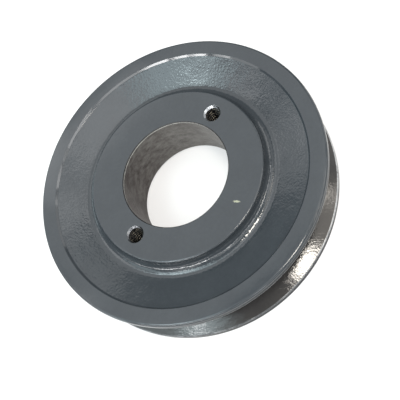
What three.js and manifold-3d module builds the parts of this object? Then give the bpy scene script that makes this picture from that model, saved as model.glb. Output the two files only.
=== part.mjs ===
// Single groove V-belt pulley for a taper bushing: one iron casting, machined and enamelled.
// Millimetres. +Z is the pulley's axis, pointing out of the face with the bore's small end.
// The origin is on the axis, in the middle of the groove. The tapped holes lie on the X axis.
import * as THREE from 'three';
import { mergeVertices } from 'three/addons/utils/BufferGeometryUtils.js';
import Module from 'manifold-3d';

const INCH = 25.4;

// Rim and groove
const OUTER_R = 4.25 * INCH / 2;
const FACE_WIDTH = 0.875 * INCH;
const RIM_EDGE_ROUND = 0.85;
const GROOVE_TOP_WIDTH = 0.637 * INCH;
const GROOVE_DEPTH = 0.55 * INCH;
const GROOVE_ANGLE = 34;
const GROOVE_EDGE_ROUND = 0.4;
const GROOVE_FILLET = 1.2;

// Dished web between the rim's flat face and the hub, the same on both sides
const WEB_OUTER_R = 48.2;
const WEB_OUTER_RECESS = 0.75;
const WEB_SLOPE = 17.5;
const STEP_WIDTH = 0.65;
const STEP_FILLET = 0.3;

// Hub
const HUB_R = 32.5;
const HUB_EDGE_ROUND = 0.6;
const HUB_DRAFT = 6;
const HUB_COVE = 3.4;

// Tapered bore: three quarters of an inch per foot, measured on the diameter
const BORE_LARGE_R = 1.625 * INCH / 2;
const BORE_TAPER = 0.75 / 12;
const BORE_SMALL_CHAMFER = 0.3;
const BORE_LARGE_CHAMFER = 0.6;

// Two holes tapped 1/4-20 right through the hub, drawn at their tap drill size
const BOLT_CIRCLE_R = 1.0 * INCH;
const HOLE_COUNT = 2;
const TAP_DRILL_R = 2.55;
const MOUTH_R = 3.25;

// Fineness of the solid: facets round a turn and round a hole, and degrees of a rounding's step
const TURN_SEGMENTS = 80;
const HOLE_SEGMENTS = 24;
const ARC_STEP = 30;

const HALF_WIDTH = FACE_WIDTH / 2;
const tangent = (degrees) => Math.tan(THREE.MathUtils.degToRad(degrees));

const wasm = await Module();
wasm.setup();

// Points of a closed outline of [radius, height, rounding] corners, with its roundings as arcs.
function roundedOutline(corners) {
  const outline = [];
  corners.forEach(([radius, height, rounding = 0], i) => {
    const corner = new THREE.Vector2(radius, height);
    if (rounding === 0) {
      outline.push(corner);
      return;
    }
    const before = corners.at(i - 1);
    const after = corners[(i + 1) % corners.length];
    const toBefore = new THREE.Vector2(before[0], before[1]).sub(corner).normalize();
    const toAfter = new THREE.Vector2(after[0], after[1]).sub(corner).normalize();
    const halfAngle = Math.acos(toBefore.dot(toAfter)) / 2;
    const middle = toBefore.clone().add(toAfter).normalize();
    const centre = corner.clone().addScaledVector(middle, rounding / Math.sin(halfAngle));
    const start = corner.clone().addScaledVector(toBefore, rounding / Math.tan(halfAngle));
    const sweep = (Math.PI - 2 * halfAngle) * Math.sign(toAfter.cross(toBefore));
    const steps = Math.max(1, Math.round(Math.abs(sweep) / THREE.MathUtils.degToRad(ARC_STEP)));
    for (let step = 0; step <= steps; step += 1) {
      outline.push(start.clone().rotateAround(centre, sweep * step / steps));
    }
  });
  return outline;
}

// Corners of one side, from the hub's face out to the groove's bottom.
function sideCorners() {
  const webHeight = (radius) => (
    HALF_WIDTH - WEB_OUTER_RECESS - (WEB_OUTER_R - STEP_WIDTH - radius) * tangent(WEB_SLOPE)
  );
  const hubFootR = HUB_R + (HALF_WIDTH - webHeight(HUB_R)) * tangent(HUB_DRAFT);
  const grooveBottom = GROOVE_TOP_WIDTH / 2 - GROOVE_DEPTH * tangent(GROOVE_ANGLE / 2);
  return [
    [HUB_R, HALF_WIDTH, HUB_EDGE_ROUND],
    [hubFootR, webHeight(hubFootR), HUB_COVE],
    [WEB_OUTER_R - STEP_WIDTH, webHeight(WEB_OUTER_R - STEP_WIDTH), STEP_FILLET],
    [WEB_OUTER_R, HALF_WIDTH],
    [OUTER_R, HALF_WIDTH, RIM_EDGE_ROUND],
    [OUTER_R, GROOVE_TOP_WIDTH / 2, GROOVE_EDGE_ROUND],
    [OUTER_R - GROOVE_DEPTH, grooveBottom, GROOVE_FILLET],
  ];
}

// Corners of the bore's wall, from the small end's face down to the large end's face.
function boreCorners() {
  const boreRadius = (height) => BORE_LARGE_R - (height + HALF_WIDTH) * BORE_TAPER / 2;
  const smallEnd = HALF_WIDTH - BORE_SMALL_CHAMFER;
  const largeEnd = BORE_LARGE_CHAMFER - HALF_WIDTH;
  return [
    [boreRadius(smallEnd) + BORE_SMALL_CHAMFER, HALF_WIDTH],
    [boreRadius(smallEnd), smallEnd],
    [boreRadius(largeEnd), largeEnd],
    [boreRadius(largeEnd) + BORE_LARGE_CHAMFER, -HALF_WIDTH],
  ];
}

function turned(outline, segments) {
  return new THREE.LatheGeometry(outline, segments).rotateX(Math.PI / 2);
}

function castingBlank() {
  const front = sideCorners();
  const back = front.map(([radius, height, rounding]) => [radius, -height, rounding]);
  const outline = roundedOutline([...back, ...front.reverse(), ...boreCorners()]);
  return turned([...outline, outline[0]], TURN_SEGMENTS);
}

// A drill and its countersinks at both faces of the hub, as one cutting shape.
function tapDrill(x, y) {
  const clear = 1;
  const neck = HALF_WIDTH - (MOUTH_R - TAP_DRILL_R);
  const outline = [
    [0, -HALF_WIDTH - clear],
    [MOUTH_R + clear, -HALF_WIDTH - clear],
    [TAP_DRILL_R, -neck],
    [TAP_DRILL_R, neck],
    [MOUTH_R + clear, HALF_WIDTH + clear],
    [0, HALF_WIDTH + clear],
  ].map(([radius, height]) => new THREE.Vector2(radius, height));
  return turned(outline, HOLE_SEGMENTS).translate(x, y, 0);
}

function toManifold(geometry) {
  const bare = geometry.clone();
  bare.deleteAttribute('normal');
  bare.deleteAttribute('uv');
  const merged = mergeVertices(bare);
  return new wasm.Manifold(new wasm.Mesh({
    numProp: 3,
    vertProperties: Float32Array.from(merged.attributes.position.array),
    triVerts: Uint32Array.from(merged.index.array),
  }));
}

function toGeometry(solid) {
  const mesh = solid.getMesh();
  const geometry = new THREE.BufferGeometry();
  geometry.setAttribute('position', new THREE.BufferAttribute(mesh.vertProperties, 3));
  geometry.setIndex(new THREE.BufferAttribute(mesh.triVerts, 1));
  geometry.computeVertexNormals();
  return geometry;
}

function pulleyCasting() {
  let solid = toManifold(castingBlank());
  for (let hole = 0; hole < HOLE_COUNT; hole += 1) {
    const angle = 2 * Math.PI * hole / HOLE_COUNT;
    const drill = tapDrill(BOLT_CIRCLE_R * Math.cos(angle), BOLT_CIRCLE_R * Math.sin(angle));
    solid = solid.subtract(toManifold(drill));
  }
  const enamel = new THREE.MeshStandardMaterial({
    color: 0x5b666c,
    roughness: 0.35,
    metalness: 0.1,
  });
  const mesh = new THREE.Mesh(toGeometry(solid), enamel);
  mesh.name = 'pulley_casting';
  return mesh;
}

const group = new THREE.Group();
group.add(pulleyCasting());

export default group;
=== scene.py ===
"""Looks of a cast iron V-belt pulley with a tapered bore, in metres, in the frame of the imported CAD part.

The part lies on a pale floor. Its axis is Z, and the two tapped holes lie on the X axis.
"""

import math

import bmesh
import bpy
from mathutils import Matrix, Quaternion, Vector, noise


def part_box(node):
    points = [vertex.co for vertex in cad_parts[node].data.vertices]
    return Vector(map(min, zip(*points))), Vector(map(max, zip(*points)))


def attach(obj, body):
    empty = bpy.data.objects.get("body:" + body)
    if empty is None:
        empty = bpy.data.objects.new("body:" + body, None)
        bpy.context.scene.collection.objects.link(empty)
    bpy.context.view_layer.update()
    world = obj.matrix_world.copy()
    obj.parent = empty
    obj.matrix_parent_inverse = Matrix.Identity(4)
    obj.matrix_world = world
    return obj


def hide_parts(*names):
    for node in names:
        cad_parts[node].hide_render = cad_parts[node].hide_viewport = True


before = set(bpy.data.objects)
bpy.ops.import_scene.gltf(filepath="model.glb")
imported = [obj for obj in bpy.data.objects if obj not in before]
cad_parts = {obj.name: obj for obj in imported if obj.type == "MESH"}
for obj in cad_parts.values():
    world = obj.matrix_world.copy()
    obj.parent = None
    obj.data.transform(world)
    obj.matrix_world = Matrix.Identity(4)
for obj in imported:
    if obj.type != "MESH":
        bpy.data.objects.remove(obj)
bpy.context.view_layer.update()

NODE = "pulley_casting"
MM = 0.001
INCH = 25.4 * MM
low_corner, high_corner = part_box(NODE)

# Rim and groove
OUTER_R = high_corner.x
HALF_WIDTH = high_corner.z
RIM_EDGE_ROUND = 0.85 * MM
LAND_INSET = 1.1 * RIM_EDGE_ROUND
GROOVE_TOP_WIDTH = 0.637 * INCH
GROOVE_DEPTH = 0.55 * INCH
GROOVE_ANGLE = math.radians(34)
GROOVE_EDGE_ROUND = 0.4 * MM
EDGE_BAND_WIDTH = GROOVE_EDGE_ROUND
GROOVE_FILLET = 1.2 * MM

# Dished web, the same on both sides
WEB_OUTER_R = 48.2 * MM
WEB_OUTER_RECESS = 0.75 * MM
WEB_SLOPE = math.radians(17.5)
STEP_WIDTH = 0.65 * MM
STEP_FILLET = 0.3 * MM
STEP_EDGE_ROUND = 0.12 * MM

# Hub
HUB_R = 32.5 * MM
HUB_EDGE_ROUND = 0.6 * MM
HUB_DRAFT = math.radians(6)
HUB_COVE = 3.4 * MM

# Tapered bore: three quarters of an inch per foot, measured on the diameter
BORE_LARGE_R = 1.625 * INCH / 2
BORE_TAPER = 0.75 / 12
BORE_SMALL_CHAMFER = 0.3 * MM
BORE_LARGE_CHAMFER = 0.6 * MM
BORE_LIP = 0.45 * MM

# Two holes tapped 1/4-20 right through the hub
BOLT_CIRCLE_R = 1.0 * INCH
HOLE_ANGLES = (0.0, math.pi)
PITCH = INCH / 20
THREAD_MINOR_R = 2.55 * MM
THREAD_MAJOR_R = INCH / 8
THREAD_FLANK = math.radians(30)
MOUTH_R = 3.25 * MM
CUT_CLEARANCE = 1.0 * MM

# Fineness of the mesh
TURN_SEGMENTS = 360
HOLE_SEGMENTS = 48
ARC_STEP = math.radians(9)
LONGEST_STEP = 1.2 * MM
SHARP_ANGLE = math.radians(32)

# Unevenness of the cast surfaces
CAST_SWELL = 0.03 * MM
CAST_SWELL_LENGTH = 5.0 * MM
CAST_SWELL_INCREMENT = 0.8
CAST_SWELL_LACUNARITY = 2.0
CAST_SWELL_OCTAVES = 3

# A chip in the hub face's enamel
CHIP_PLACE = (1.3 * MM, -26.6 * MM, HALF_WIDTH)
CHIP_HALF_SIZE = (1.15 * MM, 0.34 * MM, 0.34 * MM)
CHIP_ANGLE = math.radians(-63)

# The land is the rim's outer surface on each side of the groove, and its edge with the groove is worn down
# to bare iron, which is lighter there as a painted highlight too.
FINISHES = (
    "turned_enamel", "cast_enamel", "groove_enamel", "land_enamel", "worn_edge_and_highlight",
    "turned_bore", "bore_chamfer", "bore_lip", "hole_mouth", "thread",
)


# ---------------------------------------------------------------- the casting's outline

def side_corners():
    """[radius, height, rounding, finish of the stretch that ends there], hub face out to groove bottom."""
    def web_height(radius):
        return HALF_WIDTH - WEB_OUTER_RECESS - (WEB_OUTER_R - STEP_WIDTH - radius) * math.tan(WEB_SLOPE)

    hub_foot_r = HUB_R + (HALF_WIDTH - web_height(HUB_R)) * math.tan(HUB_DRAFT)
    step_foot_r = WEB_OUTER_R - STEP_WIDTH
    groove_bottom = GROOVE_TOP_WIDTH / 2 - GROOVE_DEPTH * math.tan(GROOVE_ANGLE / 2)
    edge_band_drop = EDGE_BAND_WIDTH * math.tan(GROOVE_ANGLE / 2)
    return [
        (HUB_R, HALF_WIDTH, HUB_EDGE_ROUND, "turned_enamel"),
        (hub_foot_r, web_height(hub_foot_r), HUB_COVE, "cast_enamel"),
        (step_foot_r, web_height(step_foot_r), STEP_FILLET, "cast_enamel"),
        (WEB_OUTER_R, HALF_WIDTH, STEP_EDGE_ROUND, "turned_enamel"),
        (OUTER_R, HALF_WIDTH, RIM_EDGE_ROUND, "turned_enamel"),
        (OUTER_R, HALF_WIDTH - LAND_INSET, 0, "turned_enamel"),
        (OUTER_R, GROOVE_TOP_WIDTH / 2 + EDGE_BAND_WIDTH, 0, "land_enamel"),
        (OUTER_R, GROOVE_TOP_WIDTH / 2, GROOVE_EDGE_ROUND, "worn_edge_and_highlight"),
        (OUTER_R - EDGE_BAND_WIDTH, GROOVE_TOP_WIDTH / 2 - edge_band_drop, 0, "worn_edge_and_highlight"),
        (OUTER_R - GROOVE_DEPTH, groove_bottom, GROOVE_FILLET, "groove_enamel"),
    ]


def casting_corners():
    """The closed outline's corners: out along the back, in along the front, down the bore."""
    front = side_corners()
    back = [(radius, -height, rounding, finish) for radius, height, rounding, finish in front]
    ends = [finish for _, _, _, finish in front]
    inward = [
        (radius, height, rounding, ends[i + 1] if i + 1 < len(ends) else "groove_enamel")
        for i, (radius, height, rounding, _) in enumerate(front)
    ][::-1]

    def bore_radius(height):
        return BORE_LARGE_R - (height + HALF_WIDTH) * BORE_TAPER / 2

    small_end = HALF_WIDTH - BORE_SMALL_CHAMFER
    large_end = BORE_LARGE_CHAMFER - HALF_WIDTH
    bore = [
        (bore_radius(small_end) + BORE_SMALL_CHAMFER, HALF_WIDTH, 0, "turned_enamel"),
        (bore_radius(small_end), small_end, 0, "bore_chamfer"),
        (bore_radius(small_end - BORE_LIP), small_end - BORE_LIP, 0, "bore_lip"),
        (bore_radius(large_end), large_end, 0, "turned_bore"),
        (bore_radius(large_end) + BORE_LARGE_CHAMFER, -HALF_WIDTH, 0, "bore_chamfer"),
    ]
    return back + inward + bore


def rounded_outline(corners):
    """Pairs of a point and the finish of the stretch before it, with the outline's roundings as arcs."""
    outline = []
    for i, (radius, height, rounding, finish) in enumerate(corners):
        corner = Vector((radius, height))
        if rounding == 0:
            outline.append((corner, finish))
            continue
        to_before = (Vector(corners[i - 1][:2]) - corner).normalized()
        to_after = (Vector(corners[(i + 1) % len(corners)][:2]) - corner).normalized()
        half_angle = to_before.angle(to_after) / 2
        middle = (to_before + to_after).normalized()
        centre = corner + middle * rounding / math.sin(half_angle)
        spoke = corner + to_before * rounding / math.tan(half_angle) - centre
        turn = to_after.x * to_before.y - to_after.y * to_before.x
        sweep = math.copysign(math.pi - 2 * half_angle, turn)
        steps = max(3, round(abs(sweep) / ARC_STEP))
        for step in range(steps + 1):
            outline.append((centre + Matrix.Rotation(sweep * step / steps, 2) @ spoke, finish))
    return outline


def divided_outline(outline):
    """The same outline with its long cast stretches divided, so that their surface can be uneven."""
    divided = []
    for i, (point, finish) in enumerate(outline):
        before = outline[i - 1][0]
        length = (point - before).length
        parts = math.ceil(length / LONGEST_STEP) if finish == "cast_enamel" else 1
        for part in range(1, parts + 1):
            divided.append((before.lerp(point, part / parts), finish))
    return divided


# ---------------------------------------------------------------- meshes

def lathe(outline, segments):
    """A closed outline turned round Z; the face before each point takes the point's finish."""
    mesh = bmesh.new()
    angles = [2 * math.pi * j / segments for j in range(segments)]
    rings = [
        [mesh.verts.new((point.x * math.cos(a), point.x * math.sin(a), point.y)) for a in angles]
        for point, _ in outline
    ]
    for i, (_, finish) in enumerate(outline):
        near, far = rings[i - 1], rings[i]
        for j in range(segments):
            k = (j + 1) % segments
            face = mesh.faces.new((near[j], near[k], far[k], far[j]))
            face.material_index = FINISHES.index(finish)
    return mesh


def swell_cast_surfaces(mesh):
    """Moves the cast surfaces in and out a little, as sand casting leaves them; turned ones stay true."""
    cast = FINISHES.index("cast_enamel")
    highest = HALF_WIDTH - 2 * CAST_SWELL
    mesh.normal_update()
    moves = {}
    for vertex in mesh.verts:
        all_cast = all(face.material_index == cast for face in vertex.link_faces)
        if all_cast and abs(vertex.co.z) < highest:
            height = noise.fractal(
                vertex.co / CAST_SWELL_LENGTH,
                CAST_SWELL_INCREMENT, CAST_SWELL_LACUNARITY, CAST_SWELL_OCTAVES,
            )
            moves[vertex] = vertex.normal * height * CAST_SWELL
    for vertex, move in moves.items():
        vertex.co += move


def mouth_cutter(sign):
    """A cone that chamfers a hole's mouth at the face on that side."""
    mesh = bmesh.new()
    depth = MOUTH_R - THREAD_MINOR_R + CUT_CLEARANCE
    bmesh.ops.create_cone(
        mesh, cap_ends=True, segments=HOLE_SEGMENTS,
        radius1=MOUTH_R - depth if sign > 0 else MOUTH_R + CUT_CLEARANCE,
        radius2=MOUTH_R + CUT_CLEARANCE if sign > 0 else MOUTH_R - depth,
        depth=depth + CUT_CLEARANCE,
        matrix=Matrix.Translation((0, 0, sign * (HALF_WIDTH + (CUT_CLEARANCE - depth) / 2))),
    )
    return mesh


def thread_cutter():
    """A right-hand threaded rod whose thread is what the tap cuts away, longer than the hub is wide."""
    flank = (THREAD_MAJOR_R - THREAD_MINOR_R) * math.tan(THREAD_FLANK)
    root = PITCH / 8
    crest = PITCH - 2 * flank - root
    profile = [
        (0, THREAD_MINOR_R),
        (crest, THREAD_MINOR_R),
        (crest + flank, THREAD_MAJOR_R),
        (crest + flank + root, THREAD_MAJOR_R),
    ]
    turns = 2 * math.ceil(HALF_WIDTH / PITCH + 2)
    per_turn = len(profile)
    mesh = bmesh.new()
    rows = []
    for turn in range(turns):
        plain = turn == 0 or turn == turns - 1
        for rise, radius in profile:
            height = (turn - turns / 2) * PITCH + rise
            radius = THREAD_MINOR_R if plain else radius
            row = []
            for j in range(HOLE_SEGMENTS):
                a = 2 * math.pi * j / HOLE_SEGMENTS
                place = (radius * math.cos(a), radius * math.sin(a), height + PITCH * j / HOLE_SEGMENTS)
                row.append(mesh.verts.new(place))
            rows.append(row)
    for m in range(len(rows) - 1):
        for j in range(HOLE_SEGMENTS - 1):
            mesh.faces.new((rows[m][j], rows[m][j + 1], rows[m + 1][j + 1], rows[m + 1][j]))
        if m + per_turn + 1 < len(rows):
            up = m + per_turn
            mesh.faces.new((rows[m][-1], rows[up][0], rows[up + 1][0], rows[m + 1][-1]))
    open_edges = [edge for edge in mesh.edges if edge.is_boundary]
    caps = bmesh.ops.holes_fill(mesh, edges=open_edges, sides=0)["faces"]
    bmesh.ops.poke(mesh, faces=caps)
    bmesh.ops.recalc_face_normals(mesh, faces=mesh.faces)
    return mesh


def new_object(name, mesh, materials):
    """A Blender object of a bmesh, which it frees, with those materials in its slots."""
    data = bpy.data.meshes.new(name)
    mesh.to_mesh(data)
    mesh.free()
    for material in materials:
        data.materials.append(material)
    piece = bpy.data.objects.new(name, data)
    bpy.context.scene.collection.objects.link(piece)
    return piece


def apply_modifiers(piece):
    """Gives a piece the mesh that its modifiers make, and removes them."""
    depsgraph = bpy.context.evaluated_depsgraph_get()
    data = bpy.data.meshes.new_from_object(piece.evaluated_get(depsgraph))
    piece.modifiers.clear()
    piece.data = data


def cut(piece, cutter):
    """Takes a closed cutting shape out of a piece, and deletes the cutter."""
    difference = piece.modifiers.new("cut", "BOOLEAN")
    difference.operation = "DIFFERENCE"
    difference.solver = "EXACT"
    difference.object = cutter
    apply_modifiers(piece)
    bpy.data.objects.remove(cutter)


def smooth_true(piece):
    """Smooth shading that keeps flat faces flat and hard edges hard."""
    piece.data.shade_smooth()
    piece.data.set_sharp_from_angle(angle=SHARP_ANGLE)
    weighted = piece.modifiers.new("weighted", "WEIGHTED_NORMAL")
    weighted.mode = "FACE_AREA"
    weighted.weight = 50
    weighted.keep_sharp = True
    apply_modifiers(piece)


def build_casting(materials):
    """The turned casting with its two tapped and chamfered holes cut right through."""
    mesh = lathe(divided_outline(rounded_outline(casting_corners())), TURN_SEGMENTS)
    swell_cast_surfaces(mesh)
    casting = new_object("cast_pulley", mesh, materials)
    for angle in HOLE_ANGLES:
        place = Vector((BOLT_CIRCLE_R * math.cos(angle), BOLT_CIRCLE_R * math.sin(angle), 0))
        cutters = (
            (thread_cutter(), "thread"),
            (mouth_cutter(1), "hole_mouth"),
            (mouth_cutter(-1), "hole_mouth"),
        )
        for shape, finish in cutters:
            bmesh.ops.translate(shape, verts=shape.verts, vec=place)
            for face in shape.faces:
                face.material_index = FINISHES.index(finish)
            cut(casting, new_object("cutter", shape, materials))
    smooth_true(casting)
    return casting


# ---------------------------------------------------------------- materials

class Nodes:
    """A material's node tree, with short calls to add nodes and set or link their inputs."""

    def __init__(self, name):
        self.material = bpy.data.materials.new(name)
        self.material.use_nodes = True
        self.tree = self.material.node_tree
        self.shader = self.tree.nodes["Principled BSDF"]

    def put(self, node, inputs):
        for key, value in inputs.items():
            socket = node.inputs[key]
            if isinstance(value, bpy.types.NodeSocket):
                self.tree.links.new(value, socket)
            else:
                socket.default_value = value

    def add(self, kind, inputs, **settings):
        node = self.tree.nodes.new("ShaderNode" + kind)
        for key, value in settings.items():
            setattr(node, key, value)
        self.put(node, inputs)
        return node.outputs[0]

    def place(self):
        """Position on the object, in metres."""
        node = self.tree.nodes.new("ShaderNodeTexCoord")
        return node.outputs["Object"]

    def axis(self, name):
        """One coordinate of the position on the object, in metres."""
        node = self.tree.nodes.new("ShaderNodeSeparateXYZ")
        self.put(node, {0: self.place()})
        return node.outputs[name]

    def length(self, vector):
        node = self.tree.nodes.new("ShaderNodeVectorMath")
        node.operation = "LENGTH"
        self.put(node, {0: vector})
        return node.outputs["Value"]

    def noise(self, size, detail=2.0, roughness=0.5, flatten=1.0):
        """Noise from 0 to 1, in blobs about that many metres across and that much flatter along Z."""
        place = self.add("Mapping", {"Vector": self.place(), "Scale": (1, 1, flatten)})
        inputs = {"Vector": place, "Scale": 1 / size, "Detail": detail, "Roughness": roughness}
        return self.add("TexNoise", inputs)

    def math(self, operation, *values):
        return self.add("Math", dict(enumerate(values)), operation=operation)

    def remap(self, value, low, high, new_low=0.0, new_high=1.0):
        inputs = {"Value": value, "From Min": low, "From Max": high, "To Min": new_low, "To Max": new_high}
        return self.add("MapRange", inputs, clamp=True)

    def mix(self, factor, first, second):
        node = self.tree.nodes.new("ShaderNodeMix")
        node.data_type = "RGBA"
        self.put(node, {0: factor})
        self.put(node, {6: first, 7: second})
        return node.outputs[2]

    def bump(self, height, depth, normal=None):
        inputs = {"Height": height, "Distance": depth, "Strength": 1.0}
        if normal is not None:
            inputs["Normal"] = normal
        return self.add("Bump", inputs)


ENAMEL_DARK = (0.0215, 0.0262, 0.0305, 1)
ENAMEL_LIGHT = (0.0260, 0.0314, 0.0360, 1)
ENAMEL_ROUGHNESS = (0.06, 0.10)
PRIMER = (0.22, 0.23, 0.17, 1)

# Sizes of the blobs, grains and rings that the materials draw
PATCH_SIZE = 9 * MM
MOTTLE_SIZE = 1.1 * MM
PATCH_SHARE = 0.65
GLOSS_SIZE = 3 * MM
SAND_SIZE = 1.6 * MM
CHIP_RAGGED_SIZE = 0.35 * MM
CHIP_RAGGEDNESS = 0.45
RING_PITCH = 0.3 * MM
RING_WANDER_SIZE = 4 * MM
STAIN_SIZE = 4 * MM
GRIME_AND_GLINT_SIZE = 0.7 * MM

# The bare iron is darkest and brownest at the first X and palest at the second
BROWN_X = -20 * MM
PALEST_X = 16 * MM

# A thread's crest carries a painted highlight up to the first depth below it, and is dark from the second
CREST_BRIGHT = 0.01 * MM
CREST_DARK = 0.05 * MM


def enamel(name, peel_size, peel_depth, sand_depth, chipped=False, tint=(1, 1, 1), shine=0.5):
    """Gloss blue-grey enamel: orange peel, the sand casting's grain under it and slight patches of shade.

    The tint multiplies the enamel's colour, and shine is how strongly the coat reflects.
    """
    nodes = Nodes(name)
    patches = nodes.math("MULTIPLY", nodes.noise(PATCH_SIZE, 4.0, 0.6), PATCH_SHARE)
    mottle = nodes.math("MULTIPLY", nodes.noise(MOTTLE_SIZE, 2.0, 0.5), 1 - PATCH_SHARE)
    shade = nodes.math("ADD", patches, mottle)
    dark = tuple(part * channel for part, channel in zip(tint, ENAMEL_DARK)) + (1,)
    light = tuple(part * channel for part, channel in zip(tint, ENAMEL_LIGHT)) + (1,)
    colour = nodes.mix(nodes.remap(shade, 0.36, 0.64), dark, light)
    gloss = nodes.remap(nodes.noise(GLOSS_SIZE, 3.0, 0.6), 0.3, 0.7, *ENAMEL_ROUGHNESS)
    if chipped:
        chip = chip_mask(nodes)
        colour = nodes.mix(chip, colour, PRIMER)
        gloss = nodes.remap(chip, 0.0, 1.0, gloss, 0.6)
    sand = nodes.bump(nodes.noise(SAND_SIZE, 2.0, 0.5), sand_depth)
    peel = nodes.bump(nodes.noise(peel_size, 2.0, 0.55), peel_depth, sand)
    nodes.put(nodes.shader, {
        "Base Color": colour,
        "Roughness": gloss,
        "Normal": peel,
        "Metallic": 0.0,
        "IOR": 1.5,
        "Specular IOR Level": shine,
    })
    return nodes.material


def chip_mask(nodes):
    """1 inside the ragged chip on the hub's face, 0 elsewhere."""
    local = nodes.add("Mapping", {
        "Vector": nodes.place(),
        "Location": CHIP_PLACE,
        "Rotation": (0, 0, CHIP_ANGLE),
        "Scale": CHIP_HALF_SIZE,
    }, vector_type="TEXTURE")
    centre_distance = nodes.length(local)
    ragged = nodes.remap(nodes.noise(CHIP_RAGGED_SIZE), 0.3, 0.7, -CHIP_RAGGEDNESS, CHIP_RAGGEDNESS)
    return nodes.remap(nodes.math("ADD", centre_distance, ragged), 0.85, 1.1, 1.0, 0.0)


def bare_iron(name, dark, light, roughness, ring_depth, metallic=0.75, shine=0.5):
    """Bare turned iron, browner on one side, with the tool's fine rings round the bore."""
    nodes = Nodes(name)
    wander = nodes.math("MULTIPLY", nodes.noise(RING_WANDER_SIZE, 2.0), 1.5 * RING_PITCH)
    height = nodes.math("ADD", nodes.axis("Z"), wander)
    rings = nodes.math("SINE", nodes.math("MULTIPLY", height, 2 * math.pi / RING_PITCH))
    stain = nodes.noise(STAIN_SIZE, 6.0, 0.75, flatten=1.5)
    side = nodes.remap(nodes.axis("X"), BROWN_X, PALEST_X, -0.25, 0.38)
    tone = nodes.math("ADD", side, nodes.remap(stain, 0.38, 0.62, 0.0, 0.55))
    nodes.put(nodes.shader, {
        "Base Color": nodes.mix(tone, dark, light),
        "Metallic": metallic,
        "Specular IOR Level": shine,
        "Roughness": nodes.remap(stain, 0.3, 0.7, roughness - 0.06, roughness + 0.06),
        "Normal": nodes.bump(rings, ring_depth),
    })
    return nodes.material


def thread_iron(name, groove, crest):
    """Thread grooves painted nearly black as painted shade inside the hole, with a painted highlight along
    the crests that random grime breaks up.
    """
    nodes = Nodes(name)
    off_centre = nodes.math("SUBTRACT", nodes.math("ABSOLUTE", nodes.axis("X")), BOLT_CIRCLE_R)
    radius = nodes.math("SQRT", nodes.math(
        "ADD", nodes.math("POWER", off_centre, 2.0), nodes.math("POWER", nodes.axis("Y"), 2.0),
    ))
    # The crests get a painted highlight, broken into strokes by random grime.
    on_crest = nodes.remap(radius, THREAD_MINOR_R + CREST_BRIGHT, THREAD_MINOR_R + CREST_DARK, 1.0, 0.0)
    grime_and_glint = nodes.remap(nodes.noise(GRIME_AND_GLINT_SIZE, 3.0, 0.6), 0.47, 0.58)
    nodes.put(nodes.shader, {
        "Base Color": nodes.mix(nodes.math("MULTIPLY", on_crest, grime_and_glint), groove, crest),
        "Metallic": 0.6,
        "Specular IOR Level": 0.2,
        "Roughness": nodes.remap(grime_and_glint, 0.0, 1.0, 0.25, 0.42),
    })
    return nodes.material


def make_materials():
    """One material for each finish, in the order of FINISHES."""
    return [
        enamel("turned_enamel", 0.6 * MM, 0.008 * MM, 0.006 * MM, chipped=True),
        enamel("cast_enamel", 0.8 * MM, 0.045 * MM, 0.020 * MM),
        # The groove's enamel is tinted browner, with its red raised: a painted warm reflection.
        enamel("groove_enamel", 0.6 * MM, 0.030 * MM, 0.020 * MM, tint=(1.2, 0.95, 0.8)),
        # The land's enamel is darkened to seven tenths as painted shade, and its coat barely reflects.
        enamel("land_enamel", 0.6 * MM, 0.008 * MM, 0.006 * MM, tint=(0.7, 0.7, 0.7), shine=0.04),
        # The groove's edge is bare iron worn through the enamel, lighter than it, and also a painted
        # highlight along the edge.
        bare_iron(
            "worn_edge_and_highlight", (0.06, 0.063, 0.066, 1), (0.42, 0.43, 0.44, 1), 0.30, 0.002 * MM,
            metallic=0.3,
        ),
        bare_iron(
            "turned_bore", (0.026, 0.019, 0.017, 1), (0.165, 0.160, 0.150, 1), 0.42, 0.006 * MM,
            metallic=0.2, shine=0.15,
        ),
        bare_iron("bore_chamfer", (0.012, 0.012, 0.012, 1), (0.04, 0.04, 0.04, 1), 0.45, 0.003 * MM),
        # The lip is bare iron lighter than the bore: a painted highlight along the bore's edge.
        bare_iron("bore_lip", (0.24, 0.24, 0.225, 1), (0.56, 0.56, 0.52, 1), 0.28, 0.003 * MM),
        bare_iron("hole_mouth", (0.05, 0.052, 0.056, 1), (0.26, 0.27, 0.28, 1), 0.18, 0.002 * MM),
        # The groove colour is painted shade of the hole's inside, and the crest colour is a painted
        # highlight.
        thread_iron("thread", (0.004, 0.004, 0.0045, 1), (0.26, 0.24, 0.19, 1)),
    ]


# ---------------------------------------------------------------- stage, lights and camera

FLOOR_SIZE = 3.0
FLOOR_WHITE = (0.44, 0.44, 0.44, 1)
FLOOR_SHADE = (0.43, 0.43, 0.435, 1)
FLOOR_MOTTLE_SIZE = 60 * MM
FLOOR_GLOW = 0.42


def build_floor():
    """A pale floor that the part's lower face lies on."""
    mesh = bmesh.new()
    bmesh.ops.create_grid(
        mesh, x_segments=8, y_segments=8, size=FLOOR_SIZE / 2,
        matrix=Matrix.Translation((0, 0, low_corner.z)),
    )
    nodes = Nodes("white_sweep")
    mottle = nodes.remap(nodes.noise(FLOOR_MOTTLE_SIZE, 2.0), 0.0, 1.0, 0.0, 0.04)
    nodes.put(nodes.shader, {
        "Base Color": nodes.mix(mottle, FLOOR_WHITE, FLOOR_SHADE),
        "Roughness": 0.9,
        "Emission Color": (1, 1, 1, 1),
        "Emission Strength": FLOOR_GLOW,
    })
    new_object("floor", mesh, [nodes.material])


def from_angles(azimuth, elevation):
    """Unit vector at that azimuth and elevation, in degrees."""
    a, e = math.radians(azimuth), math.radians(elevation)
    return Vector((math.cos(e) * math.cos(a), math.cos(e) * math.sin(a), math.sin(e)))


LAMP_DISTANCE = 1.2
WORLD_COLOUR = (0.93, 0.96, 1.0, 1)
WORLD_STRENGTH = 0.35
DAYLIGHT = (0.80, 0.96, 1.0)
NEUTRAL = (1.0, 1.0, 1.0)
WARM = (1.0, 0.94, 0.85)

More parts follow.
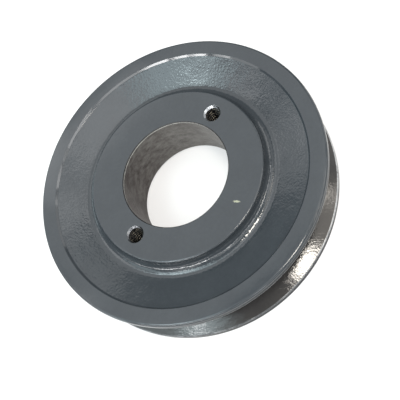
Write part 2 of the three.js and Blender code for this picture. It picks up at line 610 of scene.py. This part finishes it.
# Name, azimuth and elevation seen from the part (degrees), width and height (metres), radiance
# (the white floor's is about 1) and tint.
SOFTBOXES = (
    ("ceiling", 40, 85, 0.42, 0.42, 2.8, NEUTRAL),
    ("ceiling_lamp", 285, 73, 0.19, 0.30, 40.0, WARM),
    ("sky_left", 166, 64, 0.42, 0.42, 5.4, DAYLIGHT),
    ("sky_right", 324, 66, 0.40, 0.40, 2.1, WARM),
    ("window", 133, 66, 0.13, 0.13, 13.0, DAYLIGHT),
    ("window_glow", 128, 72, 0.35, 0.30, 4.5, DAYLIGHT),
    ("window_foot", 119, 62, 0.16, 0.14, 4.5, DAYLIGHT),
    ("back", 72, 59, 0.75, 0.53, 1.25, NEUTRAL),
    ("back_glow", 80, 46, 0.36, 0.18, 0.9, NEUTRAL),
    ("back_right", 22, 68, 0.42, 0.35, 1.6, NEUTRAL),
    ("back_left", 121, 48, 0.40, 0.42, 2.6, NEUTRAL),
    ("back_lower", 97, 40, 0.42, 0.30, 1.1, NEUTRAL),
    ("back_low", 105, 15, 0.60, 0.50, 2.0, DAYLIGHT),
    ("left_wall", 152, 40, 0.40, 0.55, 2.1, DAYLIGHT),
    ("left_low", 150, 8, 0.45, 0.45, 2.5, NEUTRAL),
    ("left_lamp", 165, 7, 0.17, 0.17, 7.5, DAYLIGHT),
    ("left_high", 173, 60, 0.05, 0.05, 36.0, NEUTRAL),
    ("left_strip_low", 165, 18, 0.32, 0.12, 7.0, NEUTRAL),
    ("left_strip_end", 179, 23, 0.26, 0.10, 21.0, NEUTRAL),
    ("left_strip_middle", 191, 26, 0.26, 0.11, 22.0, NEUTRAL),
    ("left_strip", 209, 30, 0.42, 0.12, 22.0, NEUTRAL),
    ("left_fill", 190, 45, 0.45, 0.25, 2.5, NEUTRAL),
    ("right_wall", 350, 46, 0.70, 0.35, 0.9, NEUTRAL),
    ("right_low", 350, 18, 0.60, 0.60, 1.9, NEUTRAL),
    ("right_lamp", 340, 61, 0.12, 0.12, 7.0, WARM),
    ("right_fill", 318, 47, 0.45, 0.40, 2.2, NEUTRAL),
    ("right_strip_near", 303, 31, 0.22, 0.10, 3.2, NEUTRAL),
    ("right_strip", 316, 27, 0.44, 0.12, 5.5, NEUTRAL),
    ("right_strip_far", 332, 23, 0.24, 0.10, 2.6, NEUTRAL),
    ("front_fill", 252, 52, 0.85, 0.28, 2.2, NEUTRAL),
    ("front_lamp", 242, 40, 0.14, 0.10, 14.0, NEUTRAL),
    ("front_glow", 241, 34, 0.75, 0.14, 5.5, NEUTRAL),
    ("near_glow", 280, 33, 0.62, 0.16, 6.5, NEUTRAL),
    ("near_strip", 297, 27, 0.20, 0.10, 16.0, WARM),
)


def softbox(name, azimuth, elevation, width, height, radiance, tint):
    """A rectangular area light that faces the part from that direction, with its own width level."""
    light = bpy.data.lights.new(name, "AREA")
    light.shape = "RECTANGLE"
    light.size = width
    light.size_y = height
    light.energy = radiance * math.pi * width * height
    light.color = tint
    lamp = bpy.data.objects.new(name, light)
    away = from_angles(azimuth, elevation)
    lamp.location = away * LAMP_DISTANCE
    lamp.rotation_mode = "QUATERNION"
    lamp.rotation_quaternion = away.to_track_quat("Z", "Y")
    lamp.visible_camera = False
    bpy.context.scene.collection.objects.link(lamp)


def build_lights():
    """The softboxes, and a dim even sky."""
    for box in SOFTBOXES:
        softbox(*box)
    world = bpy.data.worlds.new("studio")
    bpy.context.scene.world = world
    world.use_nodes = True
    background = world.node_tree.nodes["Background"]
    background.inputs["Color"].default_value = WORLD_COLOUR
    background.inputs["Strength"].default_value = WORLD_STRENGTH


CAMERA_AZIMUTH, CAMERA_ELEVATION = -103.98, 60.10
CAMERA_ROLL = math.radians(-45.72)
CAMERA_DISTANCE = 226.2 * MM
CAMERA_AIM = Vector((-4.08 * MM, -14.58 * MM, HALF_WIDTH))
CAMERA_LENS = 59.9
SENSOR_WIDTH = 36.0


def build_camera():
    """A camera that looks down at the face with the bore's small end, rolled about its own axis."""
    data = bpy.data.cameras.new("camera")
    data.lens = CAMERA_LENS
    data.sensor_width = SENSOR_WIDTH
    data.clip_start = 10 * MM
    data.clip_end = 10.0
    camera = bpy.data.objects.new("camera", data)
    away = from_angles(CAMERA_AZIMUTH, CAMERA_ELEVATION)
    camera.location = CAMERA_AIM + away * CAMERA_DISTANCE
    camera.rotation_mode = "QUATERNION"
    camera.rotation_quaternion = away.to_track_quat("Z", "Y") @ Quaternion((0, 0, 1), CAMERA_ROLL)
    bpy.context.scene.collection.objects.link(camera)
    bpy.context.scene.camera = camera


build_camera()
build_lights()
build_floor()

pulley = build_casting(make_materials())
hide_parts(NODE)
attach(pulley, "root")

bpy.context.scene.view_settings.view_transform = "Standard"
bpy.context.scene.view_settings.look = "None"
